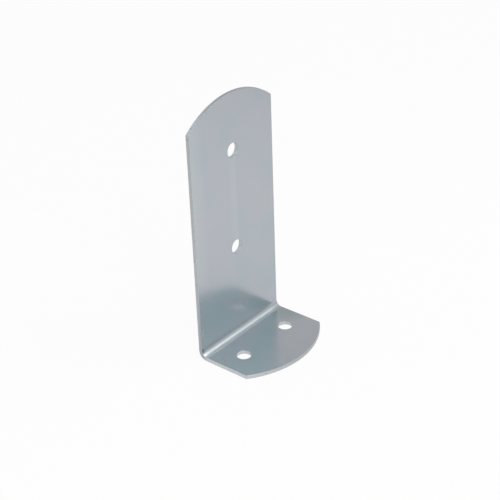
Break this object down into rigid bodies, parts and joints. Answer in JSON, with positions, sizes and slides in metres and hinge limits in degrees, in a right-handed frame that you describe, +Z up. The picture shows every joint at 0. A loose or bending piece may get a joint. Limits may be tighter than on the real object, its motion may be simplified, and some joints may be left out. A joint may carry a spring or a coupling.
{
  "type": "post base",
  "caption": "L-shaped post base folded from zinc-plated steel strip, with arc-ended leaves: a tall upright screwed to a post and a short foot bolted down.",
  "frame": {"origin": "midway between the two anchor holes, on the underside of the foot", "axes": "+Z up along the upright, the foot points to -Y, +Y is the outward normal of the post face, X runs across the width"},
  "size_m": [0.09, 0.062, 0.2],
  "materials": {
    "zinc_plated_steel": "bright zinc plating, clear blue passivated, smooth cold-rolled sheet"
  },
  "bodies": {
    "root": {"folded_bracket": "zinc_plated_steel"}
  },
  "joints": []
}
